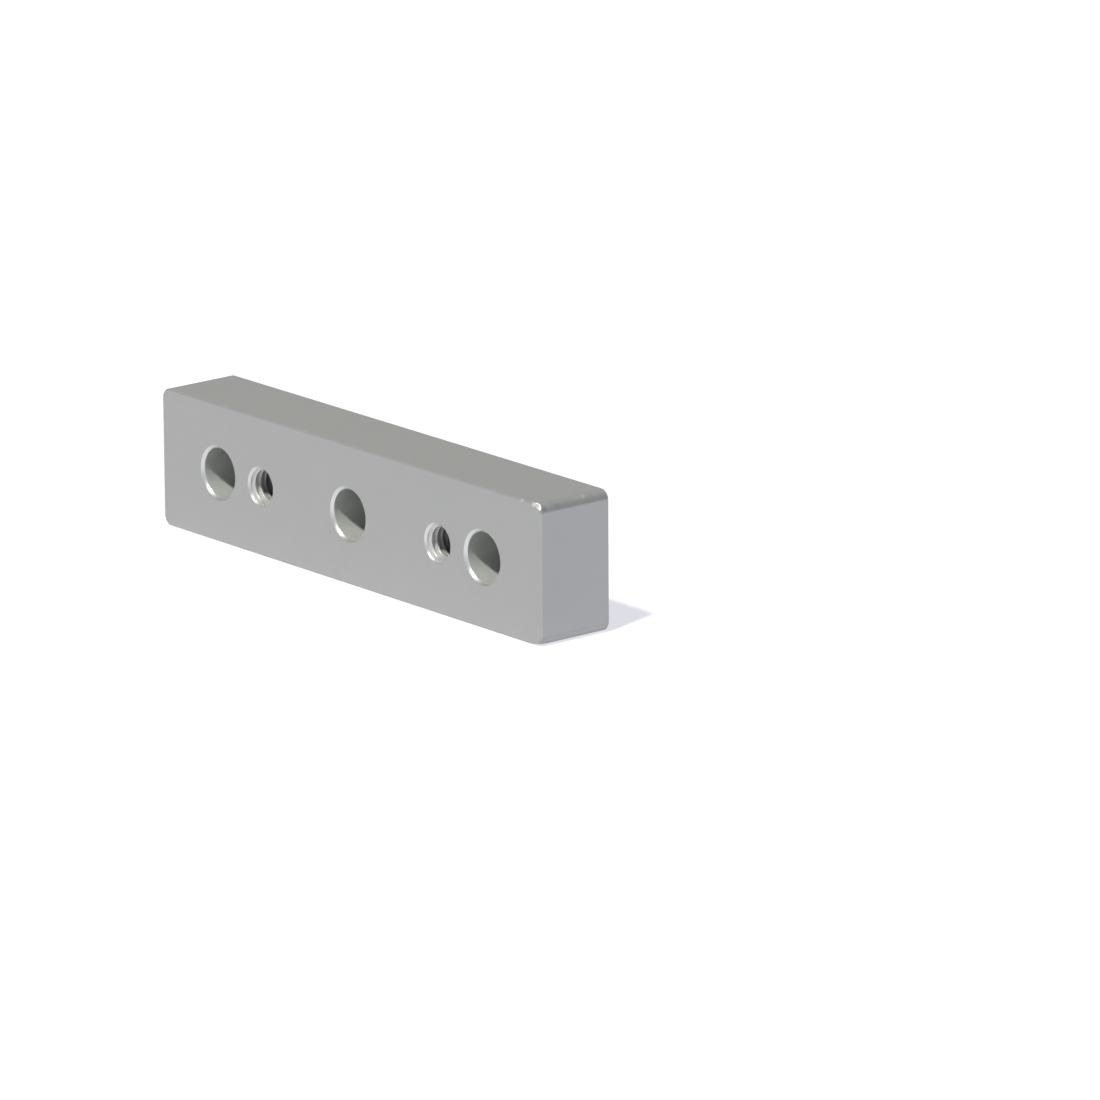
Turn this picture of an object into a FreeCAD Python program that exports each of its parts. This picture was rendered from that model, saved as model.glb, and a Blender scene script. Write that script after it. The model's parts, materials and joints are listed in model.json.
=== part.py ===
"""Machined mounting block: a flat aluminium bar with three clearance holes and two tapped holes.

The bar stands on its long narrow side. X runs along its length, Y through its thickness from the
front face to the back face, and Z up. The origin is the middle of the underside. All sizes are in
millimetres.
"""

import FreeCAD, Part
import math
import os

# The bar, milled on all six sides
BLOCK_LENGTH = 63.0
BLOCK_HEIGHT = 15.0
BLOCK_THICKNESS = 9.0
CORNER_RADIUS = 1.1  # the four corners of the outline, where the cutter goes round
EDGE_RADIUS = 0.2  # the broken edge all round the front face and the back face

# Plain holes for M5 screws, in a row at mid height, evenly spaced between the two outer ones
SCREW_HOLE_COUNT = 3
SCREW_HOLE_TO_END = 9.5  # from the block's end to the outer hole's axis
SCREW_HOLE_DIAMETER = 5.3
SCREW_HOLE_CHAMFER = 0.3  # how far each mouth is wider than the hole, all round
SCREW_HOLE_CHAMFER_ANGLE = 90.0  # across the cone

# Two tapped holes, M4 right through, each just inboard of an outer screw hole
THREAD_DIAMETER = 4.0
THREAD_PITCH = 0.7
TAPPED_HOLE_INSET = 7.25  # from the outer screw hole's axis to the tapped hole's axis
COUNTERSINK_RIM = 0.15  # how far the countersink is wider than the thread, all round
COUNTERSINK_ANGLE = 90.0  # across the cone

# How far each cutting tool runs past the face that it enters
TOOL_OVERRUN = 1.0

Y_AXIS = FreeCAD.Vector(0, 1, 0)

HALF_LENGTH = BLOCK_LENGTH / 2
HALF_THICKNESS = BLOCK_THICKNESS / 2
HOLE_HEIGHT = BLOCK_HEIGHT / 2
OUTER_SCREW_X = HALF_LENGTH - SCREW_HOLE_TO_END
TAPPED_X = OUTER_SCREW_X - TAPPED_HOLE_INSET
TAP_DRILL_DIAMETER = THREAD_DIAMETER - THREAD_PITCH
SCREW_MOUTH_DIAMETER = SCREW_HOLE_DIAMETER + 2 * SCREW_HOLE_CHAMFER
COUNTERSINK_DIAMETER = THREAD_DIAMETER + 2 * COUNTERSINK_RIM


def outline(y):
    """The bar's front view as a closed wire at depth y: a rectangle with four round corners."""
    left, right = -HALF_LENGTH, HALF_LENGTH
    low, high = 0.0, BLOCK_HEIGHT
    r = CORNER_RADIUS
    diagonal = r * 0.5**0.5

    def point(x, z):
        return FreeCAD.Vector(x, y, z)

    def side(start, end):
        return Part.LineSegment(point(*start), point(*end)).toShape()

    def corner(centre_x, centre_z, side_x, side_z):
        """The quarter circle from the upright side of this corner to its level side."""
        start = point(centre_x + side_x * r, centre_z)
        middle = point(centre_x + side_x * diagonal, centre_z + side_z * diagonal)
        end = point(centre_x, centre_z + side_z * r)
        return Part.Arc(start, middle, end).toShape()

    edges = [
        side((left + r, low), (right - r, low)),
        corner(right - r, low + r, 1, -1),
        side((right, low + r), (right, high - r)),
        corner(right - r, high - r, 1, 1),
        side((right - r, high), (left + r, high)),
        corner(left + r, high - r, -1, 1),
        side((left, high - r), (left, low + r)),
        corner(left + r, low + r, -1, -1),
    ]
    return Part.Wire(Part.__sortEdges__(edges))


def bar():
    """The bar without its holes: the outline run through the thickness, with its edges broken."""
    blank = Part.Face(outline(-HALF_THICKNESS)).extrude(Y_AXIS * BLOCK_THICKNESS)
    # The edges round the front and back faces have no depth, and the four at the corners have
    # the whole thickness
    rims = [edge for edge in blank.Edges if edge.BoundBox.YLength < HALF_THICKNESS]
    # A broken edge has to be smaller than the corner that it goes round
    return blank.makeFillet(min(EDGE_RADIUS, 0.9 * CORNER_RADIUS), rims)


def hole_tool(x, bore_diameter, mouth_diameter, cone_angle):
    """The space that a drilled hole at x takes, right through the bar, with both mouths opened out.

    It is one turned shape: a straight shank with a cone at each end, which runs on past the face.
    """
    slope = math.tan(math.radians(cone_angle / 2))
    bore = bore_diameter / 2
    flare = mouth_diameter / 2 + TOOL_OVERRUN * slope
    end = HALF_THICKNESS + TOOL_OVERRUN
    shoulder = HALF_THICKNESS - (mouth_diameter - bore_diameter) / 2 / slope
    half_section = [
        FreeCAD.Vector(x, -end, HOLE_HEIGHT),
        FreeCAD.Vector(x + flare, -end, HOLE_HEIGHT),
        FreeCAD.Vector(x + bore, -shoulder, HOLE_HEIGHT),
        FreeCAD.Vector(x + bore, shoulder, HOLE_HEIGHT),
        FreeCAD.Vector(x + flare, end, HOLE_HEIGHT),
        FreeCAD.Vector(x, end, HOLE_HEIGHT),
    ]
    section = Part.Face(Part.makePolygon(half_section + half_section[:1]))
    return section.revolve(FreeCAD.Vector(x, 0, HOLE_HEIGHT), Y_AXIS, 360)


def screw_hole_tools():
    """The row of clearance holes."""
    pitch = 2 * OUTER_SCREW_X / (SCREW_HOLE_COUNT - 1)
    places = [-OUTER_SCREW_X + number * pitch for number in range(SCREW_HOLE_COUNT)]
    return [
        hole_tool(x, SCREW_HOLE_DIAMETER, SCREW_MOUTH_DIAMETER, SCREW_HOLE_CHAMFER_ANGLE)
        for x in places
    ]


def tapped_hole_tools():
    """The two tapped holes at the size of their tap drill, which is where the thread's crests end."""
    return [
        hole_tool(side * TAPPED_X, TAP_DRILL_DIAMETER, COUNTERSINK_DIAMETER, COUNTERSINK_ANGLE)
        for side in (-1, 1)
    ]


def mounting_block():
    """The finished block, one solid."""
    block = bar()
    for tool in screw_hole_tools() + tapped_hole_tools():
        block = block.cut(tool)
    return block.removeSplitter()


os.makedirs("parts", exist_ok=True)
mounting_block().exportStep("parts/mounting_block.step")
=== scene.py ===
"""A machined aluminium mounting block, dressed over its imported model. All lengths are in metres."""

import json
import math

import bmesh
import bpy
from mathutils import Matrix, Vector


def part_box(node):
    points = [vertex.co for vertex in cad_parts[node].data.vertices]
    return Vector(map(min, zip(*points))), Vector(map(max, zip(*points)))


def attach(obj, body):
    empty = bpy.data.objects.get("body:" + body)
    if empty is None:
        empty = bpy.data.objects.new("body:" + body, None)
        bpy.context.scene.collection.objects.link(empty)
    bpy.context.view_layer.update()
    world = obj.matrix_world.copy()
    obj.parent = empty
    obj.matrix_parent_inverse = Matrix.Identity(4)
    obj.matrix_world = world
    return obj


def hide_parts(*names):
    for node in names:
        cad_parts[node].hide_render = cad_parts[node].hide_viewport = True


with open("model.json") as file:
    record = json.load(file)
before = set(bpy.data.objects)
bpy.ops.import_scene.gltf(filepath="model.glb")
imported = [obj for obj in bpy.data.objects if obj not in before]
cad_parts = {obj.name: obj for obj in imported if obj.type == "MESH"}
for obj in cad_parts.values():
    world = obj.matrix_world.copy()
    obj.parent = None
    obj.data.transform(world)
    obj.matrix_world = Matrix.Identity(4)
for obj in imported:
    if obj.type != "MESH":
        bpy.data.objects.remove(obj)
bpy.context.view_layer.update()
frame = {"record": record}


# The block
# It is one bar of aluminium, milled to a rectangle with four round corners, blasted with fine
# beads and anodised clear, which leaves the outside a satin grey. Three screw holes are drilled
# and lightly chamfered, and two more holes are countersunk and tapped.

MM = 0.001
CORNER_RADIUS = 1.1 * MM
CORNER_STEPS = 12
EDGE_RADIUS = 0.2 * MM
EDGE_STEPS = 6

low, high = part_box("mounting_block")
half_length = (high.x - low.x) / 2
half_thickness = (high.y - low.y) / 2
mid_height = (low.z + high.z) / 2

block = bmesh.new()
outline = [
    block.verts.new((x, low.y, z))
    for x, z in ((low.x, low.z), (high.x, low.z), (high.x, high.z), (low.x, high.z))
]
block.faces.new(outline)
bmesh.ops.bevel(
    block, geom=outline, affect="VERTICES", offset=CORNER_RADIUS, offset_type="OFFSET",
    segments=CORNER_STEPS, profile=0.5, material=-1,
)
swept = bmesh.ops.extrude_face_region(block, geom=block.faces[:], use_keep_orig=True)["geom"]
bmesh.ops.translate(
    block, vec=(0, high.y - low.y, 0), verts=[v for v in swept if isinstance(v, bmesh.types.BMVert)]
)

SAME_PLACE = 1e-7  # points closer than this are one
CUT_TOLERANCE = 1e-8  # points closer than this to a cut are on it


def lies_in(part, depth):
    """Whether every corner of a face or an edge is at this depth."""
    return all(abs(v.co.y - depth) < SAME_PLACE for v in part.verts)


rims = [e for e in block.edges if lies_in(e, low.y) or lies_in(e, high.y)]
bmesh.ops.bevel(
    block, geom=rims, affect="EDGES", offset=EDGE_RADIUS, offset_type="OFFSET",
    segments=EDGE_STEPS, profile=0.5, material=-1,
)
# Two corners on the front of the right end are less than sharp. The top one has a small flat, and
# the foot is rounded off by four flats. Each is given by the way it faces and how deep it cuts.
CORNER_FLATS = (
    ((0.42, -0.59, 0.69), 0.115 * MM),  # the top corner's
    ((0.188, -0.192, -0.963), 0.135 * MM),
    ((0.093, -0.301, -0.949), 0.095 * MM),
    ((0.279, -0.079, -0.957), 0.095 * MM),
    ((0.55, -0.50, -0.67), 0.11 * MM),
)
planes = []
for facing, depth in CORNER_FLATS:
    facing = Vector(facing).normalized()
    tip = max(v.co.dot(facing) for v in block.verts)
    planes.append((facing, facing * (tip - depth)))
for facing, point in planes:
    cut = bmesh.ops.bisect_plane(
        block, geom=[*block.verts, *block.edges, *block.faces], dist=CUT_TOLERANCE,
        plane_co=point, plane_no=facing, clear_outer=True,
    )["geom_cut"]
    bmesh.ops.contextual_create(block, geom=[g for g in cut if isinstance(g, bmesh.types.BMEdge)])

broad_faces = [f for f in block.faces if lies_in(f, low.y) or lies_in(f, high.y)]
bmesh.ops.delete(block, geom=broad_faces, context="FACES_ONLY")

# The finishes, numbered in the order in which the mesh gets them. A face is blasted unless it is
# given another.
BLASTED, DRILLED, BRIGHT, TAPPED = range(4)

# The screw holes, turned from half of the wall's section: a narrow land on each broad face, the
# chamfer, and the bore between them. The cutter leaves every corner of it a little soft.
HOLE_STEPS = 96
LAND = 0.06 * MM
SOFT_CORNER = 0.05 * MM
SOFT_STEPS = 3
LAND_TILT = 0.95  # a face that points this much along the hole is its land


def mount_sizes(mount):
    """A round mount's axis point at mid depth, its radius, and half the length of its wall."""
    x, _, z = mount["pos_m"]
    sizes = mount["dims"]
    return Vector((x, 0, z)), sizes["r_mm"] * MM, sizes["length_mm"] * MM / 2


def draw(centre, corners, is_soft):
    """Draws a line through corners given as radius and depth, and rounds those that are soft.

    It returns the line's edges.
    """
    line = [block.verts.new(centre + Vector((radius, depth, 0))) for radius, depth in corners]
    edges = [block.edges.new(pair) for pair in zip(line, line[1:])]
    soft = bmesh.ops.bevel(
        block, geom=[v for v in line[1:-1] if is_soft(v)] + edges, affect="VERTICES", offset=SOFT_CORNER,
        offset_type="OFFSET", segments=SOFT_STEPS, profile=0.5, material=-1,
    )
    return {e for v in soft["verts"] for e in v.link_edges} | {e for e in edges if e.is_valid}


def with_ends(edges):
    """Edges and the vertices at their ends, as one list."""
    return [*edges, *{v for e in edges for v in e.verts}]


def turn(corners, centre, half_wall):
    """Turns a line of corners into a wall round a hole's axis."""
    section = with_ends(draw(centre, corners, lambda corner: True))
    before = set(block.faces)
    bmesh.ops.spin(
        block, geom=section, cent=centre, axis=(0, 1, 0), angle=math.tau, steps=HOLE_STEPS, use_merge=True
    )
    for face in set(block.faces) - before:
        face.normal_update()
        if abs(face.calc_center_median().y) < half_wall:
            face.material_index = DRILLED
        elif abs(face.normal.y) < LAND_TILT:
            face.material_index = BRIGHT


for mount in frame["record"]["mounts"]:
    if mount["kind"] == "bore":
        centre, bore, half_wall = mount_sizes(mount)
        mouth = bore + half_thickness - half_wall
        turn(
            [
                (mouth + LAND, -half_thickness), (mouth, -half_thickness), (bore, -half_wall),
                (bore, half_wall), (mouth, half_thickness), (mouth + LAND, half_thickness),
            ],
            centre, half_wall,
        )

# The tapped holes. The thread is a section of its two flanks swept along a helix, right through the
# block. The countersink then opens each end of it, where its cone is wider than the thread.
THREAD_RADIUS = 2.0 * MM
COUNTERSINK_ANGLE = math.radians(90)
COUNTERSINK_SLOPE = math.tan(COUNTERSINK_ANGLE / 2)
THREAD_PITCH = 0.7 * MM
FLANK_ANGLE = math.radians(30)
ROOT_FLAT = THREAD_PITCH / 8
THREAD_STEPS = 72
LONG_EDGE = 0.1 * MM  # edges over this are divided, so that the countersink cuts them finely
LONG_EDGE_CUTS = 3
THREAD_START = 0.4  # how far round the tap began, as a share of a turn
SPARE_TURNS = 3  # so that every side of the sweep, which climbs one turn, runs past both faces


def tap(centre, crest, half_wall):
    """Cuts one tapped hole.

    Its centre is on the axis at mid depth, crest is its drill's radius, and its countersinks start
    half_wall away from the centre.
    """
    flank = (THREAD_RADIUS - crest) * math.tan(FLANK_ANGLE)
    crest_flat = THREAD_PITCH - ROOT_FLAT - 2 * flank
    turns = math.ceil(2 * half_thickness / THREAD_PITCH) + SPARE_TURNS
    start = (THREAD_START - (turns + 1) / 2) * THREAD_PITCH
    corners = [(crest, start)]
    for turn_number in range(turns):
        base = start + turn_number * THREAD_PITCH
        for radius, rise in (
            (crest, crest_flat), (THREAD_RADIUS, crest_flat + flank),
            (THREAD_RADIUS, crest_flat + flank + ROOT_FLAT), (crest, THREAD_PITCH),
        ):
            corners.append((radius, base + rise))
    middle_radius = (crest + THREAD_RADIUS) / 2
    drawn = draw(centre, corners, lambda corner: corner.co.x - centre.x < middle_radius)
    long_edges = [e for e in drawn if e.calc_length() > LONG_EDGE]
    cuts = bmesh.ops.subdivide_edges(block, edges=long_edges, cuts=LONG_EDGE_CUTS)["geom_split"]
    section = with_ends(drawn | {g for g in cuts if isinstance(g, bmesh.types.BMEdge)})
    before = set(block.faces)
    bmesh.ops.spin(
        block, geom=section, cent=centre, axis=(0, 1, 0), dvec=(0, THREAD_PITCH / THREAD_STEPS, 0),
        angle=math.tau, steps=THREAD_STEPS,
    )
    wall = set(block.faces) - before
    bmesh.ops.remove_doubles(block, verts=list({v for f in wall for v in f.verts}), dist=SAME_PLACE)
    for side in (-1, 1):
        wall = [f for f in block.faces if f not in before]
        bmesh.ops.bisect_plane(
            block, geom=wall + list({g for f in wall for g in (*f.edges, *f.verts)}),
            dist=CUT_TOLERANCE, plane_co=(0, side * half_thickness, 0), plane_no=(0, side, 0),
            clear_outer=True,
        )
    wall = [f for f in block.faces if f not in before]
    countersunk = set()
    for vertex in {v for f in wall for v in f.verts}:
        spoke = vertex.co - centre
        depth, spoke.y = spoke.y, 0
        cone = crest + (abs(depth) - half_wall) * COUNTERSINK_SLOPE
        if cone > spoke.length:
            spoke.length = cone
            vertex.co = centre + spoke + Vector((0, depth, 0))
            countersunk.add(vertex)
    for face in wall:
        face.material_index = BRIGHT if countersunk.issuperset(face.verts) else TAPPED


for mount in frame["record"]["mounts"]:
    if mount["kind"] == "threaded_hole":
        tap(*mount_sizes(mount))

# The two broad faces, which close the block between its edge and the five holes
for depth in (low.y, high.y):
    loops = [e for e in block.edges if e.is_boundary and lies_in(e, depth)]
    bmesh.ops.triangle_fill(block, edges=loops, use_beauty=True, normal=(0, math.copysign(1, depth), 0))
bmesh.ops.recalc_face_normals(block, faces=block.faces[:])

SHARP_ANGLE = math.radians(25)
for face in block.faces:
    face.smooth = True
for edge in block.edges:
    edge.smooth = edge.calc_face_angle(0) < SHARP_ANGLE
mesh = bpy.data.meshes.new("machined_block")
block.to_mesh(mesh)
block.free()
machined_block = bpy.data.objects.new("machined_block", mesh)
bpy.context.collection.objects.link(machined_block)
true_normals = machined_block.modifiers.new("true_normals", "WEIGHTED_NORMAL")
true_normals.mode = "FACE_AREA"
true_normals.keep_sharp = True


class Shade:
    """A node's output, in a material or in the world. Sums and products of it add their Math nodes."""

    def __init__(self, tree, output=None):
        self.tree = tree
        self.output = output

    def node(self, kind, settings=None, sockets=None, output=0):
        """Adds a node: first its settings, then a value or a link for each of its sockets."""
        made = self.tree.nodes.new(kind)
        for name, value in (settings or {}).items():
            setattr(made, name, value)
        for name, value in (sockets or {}).items():
            if isinstance(value, Shade):
                self.tree.links.new(value.output, made.inputs[name])
            else:
                made.inputs[name].default_value = value
        return Shade(self.tree, made.outputs[output] if made.outputs else None)

    def maths(self, operation, *values):
        return self.node("ShaderNodeMath", {"operation": operation}, dict(enumerate(values)))

    def __add__(self, other):
        return self.maths("ADD", self, other)

    def __radd__(self, other):
        return self.maths("ADD", other, self)

    def __sub__(self, other):
        return self.maths("SUBTRACT", self, other)

    def __rsub__(self, other):
        return self.maths("SUBTRACT", other, self)

    def __mul__(self, other):
        return self.maths("MULTIPLY", self, other)

    def __rmul__(self, other):
        return self.maths("MULTIPLY", other, self)


def new_material(name):
    """An empty material, and the Shade that its nodes are made from."""
    material = bpy.data.materials.new(name)
    material.use_nodes = True
    material.node_tree.nodes.clear()
    return material, Shade(material.node_tree)


def finish_material(shade, surface):
    """Links a finished surface to its material's output."""
    shade.node("ShaderNodeOutputMaterial", sockets={"Surface": surface})


def noise(shade, position, size, detail=2.0):
    """Cloudy noise from 0 to 1, with features about as large as size."""
    return shade.node(
        "ShaderNodeTexNoise", sockets={"Vector": position, "Scale": 1 / size, "Detail": detail}
    )


def span(shade, value, start, end):
    """Rises smoothly from 0 to 1 as a value goes from start to end."""
    return shade.node(
        "ShaderNodeMapRange", {"interpolation_type": "SMOOTHSTEP"},
        {"Value": value, "From Min": start, "From Max": end},
    )


def blend(shade, share, first, second):
    """A colour between two others."""
    return shade.node("ShaderNodeMix", {"data_type": "RGBA"}, {0: share, 6: first, 7: second}, output=2)


# Small light and dark marks along the top edges: nicks and flecks of wear, and darker spots on the
# round above the right end. The second is a painted highlight, which draws the top corner's glint to
# the left. Each is given by how far it lies to the left, back and down from the front top corner of
# the right end, how far it reaches, and its grey.
WEAR_AND_GLINT_MARKS = (
    ((3.00, 0.00, 0.05), 0.40, 0.78),
    # the painted highlight: the tail of the top corner's glint
    ((1.15, 0.10, 0.15), 0.50, 0.95),
    ((0.15, 0.60, 0.55), 0.50, 0.28),
    ((0.15, 2.35, 0.55), 0.55, 0.32),
    ((0.50, 5.90, 0.20), 0.45, 0.60),
    ((0.15, 8.15, 0.50), 0.50, 0.36),
    ((8.75, 9.00, 0.00), 0.45, 0.80),
)
MARK_STRENGTH = 0.8

# The darker line on the two upper round corners, a painted dark reflection on their rounds. Its
# places are shares of the corner's radius, measured from the corner's centre.
REFLECTION_LINE_GREY = (0.38, 0.38, 0.37, 1)
LINE_STARTS_OVER = 0.4  # outwards
LINE_RISES_OVER = 0.3  # upwards
LINE_FADES_FROM = 0.4  # upwards
LINE_FADES_BY = 0.65
LINE_DEPTH = (0.85, 0.97)  # how far out it begins and is full, which keeps it off the broad faces
LINE_LEAST, LINE_VARIES = 0.35, 1.3  # its least strength, and how much the blotches add to that

# The blasted surface, from the broadest unevenness to the finest
CLOUD_SIZE, BLOTCH_SIZE, GRAIN_SIZE = 6 * MM, 1.6 * MM, 0.14 * MM
CLOUD_SHARE, BLOTCH_SHARE, GRAIN_SHARE = 0.45, 0.35, 0.2
DARKEST_GREY = (0.485, 0.485, 0.485, 1)
LIGHTEST_GREY = (0.525, 0.525, 0.525, 1)
BLASTED_ROUGHNESS, GRAIN_ROUGHNESS = 0.265, 0.03
GRAIN_DEPTH = 0.02 * MM


def painted_reflection_line(shade, position):
    """Painted dark reflection on the two upper corners' rounds, most of all close to the end face."""
    x, z = (
        shade.node("ShaderNodeSeparateXYZ", sockets={"Vector": position}, output=axis) for axis in "XZ"
    )
    outwards = shade.maths("ABSOLUTE", x) - (half_length - CORNER_RADIUS)
    upwards = z - (high.z - CORNER_RADIUS)
    reach = shade.maths("SQRT", outwards * outwards + upwards * upwards)
    started = span(shade, outwards, 0, LINE_STARTS_OVER * CORNER_RADIUS)
    risen = span(shade, upwards, 0, LINE_RISES_OVER * CORNER_RADIUS)
    faded = span(shade, upwards, LINE_FADES_FROM * CORNER_RADIUS, CORNER_RADIUS)
    surface = span(shade, reach, *(share * CORNER_RADIUS for share in LINE_DEPTH))
    return started * risen * (1 - LINE_FADES_BY * faded) * surface


def blasted_finish():
    """The outside: bead blasted and anodised, so even and satin, with a fine grain."""
    material, shade = new_material("blasted_anodised")
    position = shade.node("ShaderNodeTexCoord", output="Object")
    clouds = noise(shade, position, CLOUD_SIZE)
    blotches = noise(shade, position, BLOTCH_SIZE)
    grain = noise(shade, position, GRAIN_SIZE, detail=3.0)
    uneven = clouds * CLOUD_SHARE + blotches * BLOTCH_SHARE + grain * GRAIN_SHARE
    colour = blend(shade, uneven, DARKEST_GREY, LIGHTEST_GREY)
    # Painted dark reflection along the upper rounds, made uneven by the blotches
    line = painted_reflection_line(shade, position) * (LINE_LEAST + LINE_VARIES * blotches)
    colour = blend(shade, line, colour, REFLECTION_LINE_GREY)
    # The marks of wear, with the painted highlight among them
    for (left, behind, down), size, grey in WEAR_AND_GLINT_MARKS:
        mark = Vector((high.x - left * MM, low.y + behind * MM, high.z - down * MM))
        away = shade.node(
            "ShaderNodeVectorMath", {"operation": "DISTANCE"}, {0: position, 1: mark}, output="Value"
        )
        faded = span(shade, away, size * MM, 0) * MARK_STRENGTH
        colour = blend(shade, faded, colour, (grey, grey, grey, 1))
    bump = shade.node(
        "ShaderNodeBump", sockets={"Height": grain, "Strength": 0.05, "Distance": GRAIN_DEPTH}
    )
    surface = shade.node(
        "ShaderNodeBsdfPrincipled",
        sockets={
            "Base Color": colour, "Metallic": 0.22,
            "Roughness": BLASTED_ROUGHNESS + grain * GRAIN_ROUGHNESS, "Normal": bump,
        },
    )
    finish_material(shade, surface)
    return material


RING_WIDTH = 0.06 * MM
RING_LEAN = 1.2


def drilled_finish():
    """The screw holes' walls: dull, with the fine rings that the drill leaves."""
    material, shade = new_material("drilled_anodised")
    position = shade.node("ShaderNodeTexCoord", output="Object")
    depth = shade.node("ShaderNodeSeparateXYZ", sockets={"Vector": position}, output="Y")
    rings = shade.node(
        "ShaderNodeTexNoise", {"noise_dimensions": "1D"},
        sockets={"W": depth * (1 / RING_WIDTH), "Scale": 1.0, "Detail": 1.0},
    )
    lean = shade.node("ShaderNodeCombineXYZ", sockets={"Y": (rings - 0.5) * RING_LEAN})
    normal = shade.node("ShaderNodeNewGeometry", output="Normal")
    leaning = shade.node("ShaderNodeVectorMath", {"operation": "ADD"}, {0: normal, 1: lean})
    leaning = shade.node("ShaderNodeVectorMath", {"operation": "NORMALIZE"}, {0: leaning})
    surface = shade.node(
        "ShaderNodeBsdfPrincipled",
        sockets={
            "Base Color": (0.515, 0.53, 0.50, 1), "Metallic": 0.15, "Roughness": 0.45,
            "Normal": leaning,
        },
    )
    finish_material(shade, surface)
    return material


def bright_finish():
    """The chamfers and countersinks: brighter than the outside, as cut metal is."""
    material, shade = new_material("bright_cut")
    surface = shade.node(
        "ShaderNodeBsdfPrincipled",
        sockets={"Base Color": (0.77, 0.77, 0.76, 1), "Metallic": 0.7, "Roughness": 0.41},
    )
    finish_material(shade, surface)
    return material


# The threads' colour darkens with depth: painted shade for the dark deep pockets.
THREAD_AT_MOUTH = (0.76, 0.76, 0.74, 1)
THREAD_PAINTED_SHADE = (0.32, 0.32, 0.31, 1)
THREAD_DARKENS = (0.8 * MM, 2.5 * MM)  # how far in it begins to darken, and is darkest


def tapped_finish():
    """The threads: torn a little by the tap, so rougher than the countersinks, with painted shade deep in.
    """
    material, shade = new_material("tapped_thread")
    position = shade.node("ShaderNodeTexCoord", output="Object")
    depth = shade.node("ShaderNodeSeparateXYZ", sockets={"Vector": position}, output="Y")
    # Painted shade, darker with depth from each mouth
    inside = span(shade, half_thickness - shade.maths("ABSOLUTE", depth), *THREAD_DARKENS)
    colour = blend(shade, inside, THREAD_AT_MOUTH, THREAD_PAINTED_SHADE)
    surface = shade.node(
        "ShaderNodeBsdfPrincipled", sockets={"Base Color": colour, "Metallic": 0.6, "Roughness": 0.52},
    )
    finish_material(shade, surface)
    return material


for finish in (blasted_finish, drilled_finish, bright_finish, tapped_finish):
    mesh.materials.append(finish())
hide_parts("mounting_block")
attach(machined_block, "root")


# The floor
# A plain pale table top, much larger than the block. The block stands loose on it, and it takes
# the block's shadow.

FLOOR_HALF = 3.0
FLOOR_PAINT = (0.5, 0.5, 0.5, 1)
GLOW_COLOUR = (1.0, 1.0, 1.07, 1)
GLOW_STRENGTH = 0.65


def pale_table_top():
    """Mid-grey paint. A glow lifts it to white for the camera and in what the metal reflects."""
    material, shade = new_material("pale_table")
    paint = shade.node("ShaderNodeBsdfDiffuse", sockets={"Color": FLOOR_PAINT})
    camera_ray, glossy_ray, transmission_ray = (
        shade.node("ShaderNodeLightPath", output=f"Is {kind} Ray")
        for kind in ("Camera", "Glossy", "Transmission")
    )
    strength = (camera_ray + glossy_ray + transmission_ray) * GLOW_STRENGTH
    glow = shade.node("ShaderNodeEmission", sockets={"Color": GLOW_COLOUR, "Strength": strength})
    finish_material(shade, shade.node("ShaderNodeAddShader", sockets={0: paint, 1: glow}))
    return material


floor_mesh = bpy.data.meshes.new("table_top")
table = bmesh.new()
bmesh.ops.create_grid(table, x_segments=1, y_segments=1, size=FLOOR_HALF)
table.to_mesh(floor_mesh)
table.free()
table_top = bpy.data.objects.new("table_top", floor_mesh)
bpy.context.collection.objects.link(table_top)
floor_mesh.materials.append(pale_table_top())


# The light
# One lamp stands high and a little to the right of the front. The room round it is dim, with a pale
# wall to the left and behind, another straight behind the block, and a window on the right.

KEY_AZIMUTH = math.radians(15)
KEY_ELEVATION = math.radians(61)
KEY_WIDTH = math.radians(4)
KEY_STRENGTH = 2.64
KEY_COLOUR = (1.0, 0.995, 0.91)
DIM_ROOM = (0.04, 0.045, 0.085, 1)
# Each side of the room: its colour, its azimuth and elevation in degrees, and the cosine of the
# angle from there at which it has faded out
PALE_WALL = (0.255, 0.25, 0.225, 1), (-120, 2), 0.72
BACK_WALL = (0.35, 0.35, 0.35, 1), (180, 0), 0.7
WINDOW = (1.03, 1.08, 1.22, 1), (80, 5), 0.62
FULL_COLOUR = 0.97  # the cosine of the angle within which each has its full colour


def direction(azimuth, elevation):
    """The unit vector from the block towards a place: azimuth 0 is in front and 90 degrees to the right."""
    return Vector((
        math.sin(azimuth) * math.cos(elevation),
        -math.cos(azimuth) * math.cos(elevation),
        math.sin(elevation),
    ))


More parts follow.
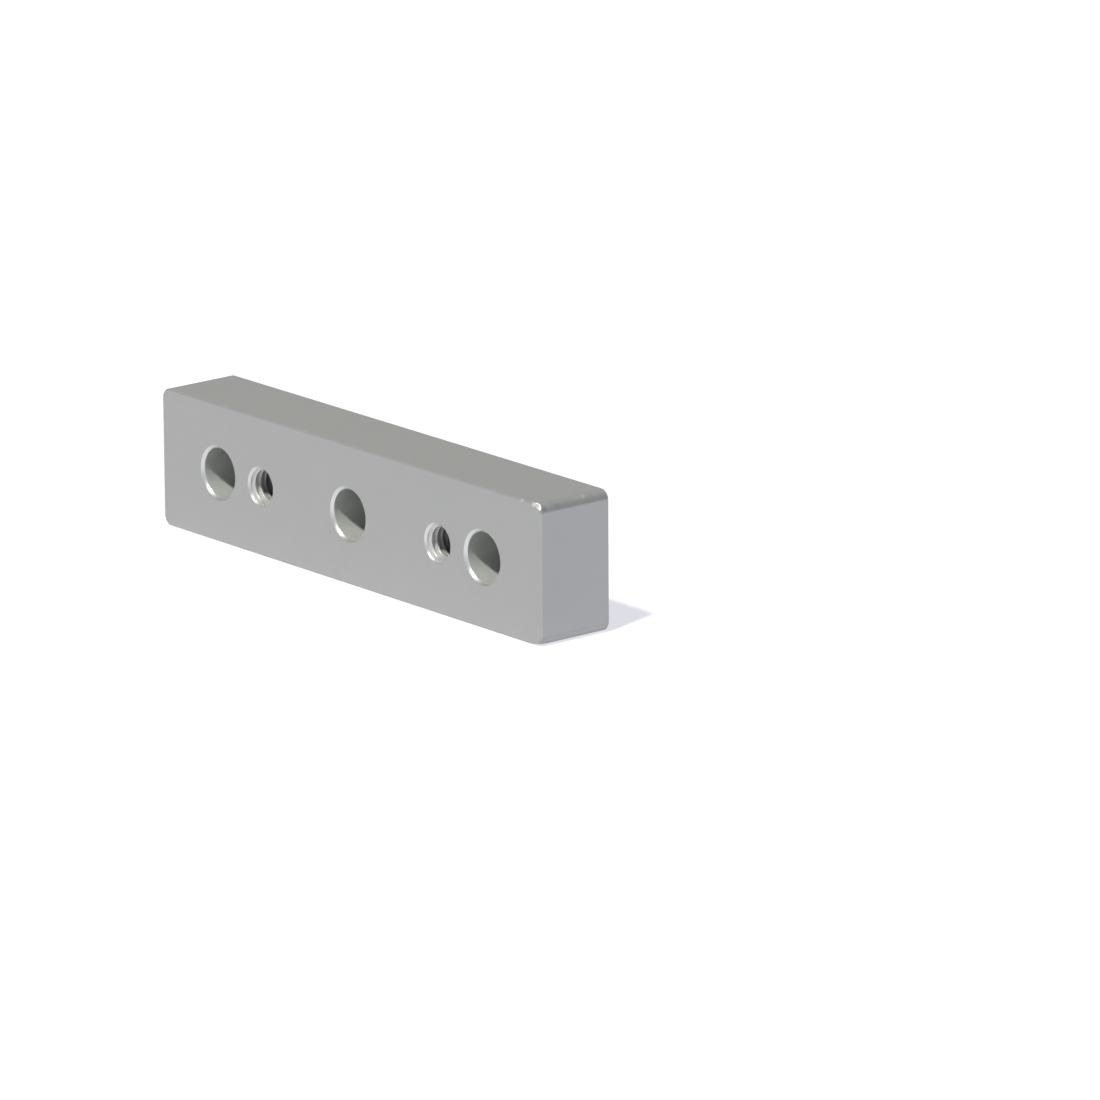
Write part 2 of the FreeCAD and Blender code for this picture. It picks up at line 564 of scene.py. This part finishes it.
key = bpy.data.lights.new("key_lamp", "SUN")
key.angle = KEY_WIDTH
key.energy = KEY_STRENGTH
key.color = KEY_COLOUR
key_lamp = bpy.data.objects.new("key_lamp", key)
key_lamp.matrix_world = direction(KEY_AZIMUTH, KEY_ELEVATION).to_track_quat("Z", "Y").to_matrix().to_4x4()
bpy.context.collection.objects.link(key_lamp)

world = bpy.data.worlds.new("pale_room")
bpy.context.scene.world = world
world.use_nodes = True
world.node_tree.nodes.clear()
room = Shade(world.node_tree)
sky = room.node("ShaderNodeTexCoord", output="Generated")
room_colour = DIM_ROOM
for side_colour, (azimuth, elevation), faded_out in (PALE_WALL, BACK_WALL, WINDOW):
    towards = room.node(
        "ShaderNodeVectorMath", {"operation": "DOT_PRODUCT"},
        {0: sky, 1: direction(math.radians(azimuth), math.radians(elevation))}, output="Value",
    )
    room_colour = blend(room, span(room, towards, faded_out, FULL_COLOUR), room_colour, side_colour)
background = room.node("ShaderNodeBackground", sockets={"Color": room_colour, "Strength": 1.0})
room.node("ShaderNodeOutputWorld", sockets={"Surface": background})
bpy.context.scene.view_settings.view_transform = "Standard"


# The camera
# A long lens to the right of the front and a little above, from which the block's front, top and
# right end show.

CAMERA_AZIMUTH = math.radians(50.48)
CAMERA_ELEVATION = math.radians(15.485)
CAMERA_ROLL = math.radians(-0.358)
CAMERA_DISTANCE = 1000 * MM
AIM_RIGHT = 17.50 * MM
AIM_DOWN = 4.456 * MM
SENSOR_WIDTH = 36.0
LENS = 314.65

block_middle = Vector((0, 0, mid_height))
back = direction(CAMERA_AZIMUTH, CAMERA_ELEVATION)
level = Vector((math.cos(CAMERA_AZIMUTH), math.sin(CAMERA_AZIMUTH), 0))
turn_about = Matrix.Rotation(CAMERA_ROLL, 3, back)
right = turn_about @ level
up = turn_about @ back.cross(level)
camera_data = bpy.data.cameras.new("camera")
camera_data.lens = LENS
camera_data.sensor_width = SENSOR_WIDTH
camera = bpy.data.objects.new("camera", camera_data)
place = block_middle + back * CAMERA_DISTANCE + right * AIM_RIGHT - up * AIM_DOWN
camera.matrix_world = Matrix.Translation(place) @ Matrix((right, up, back)).transposed().to_4x4()
bpy.context.collection.objects.link(camera)
bpy.context.scene.camera = camera
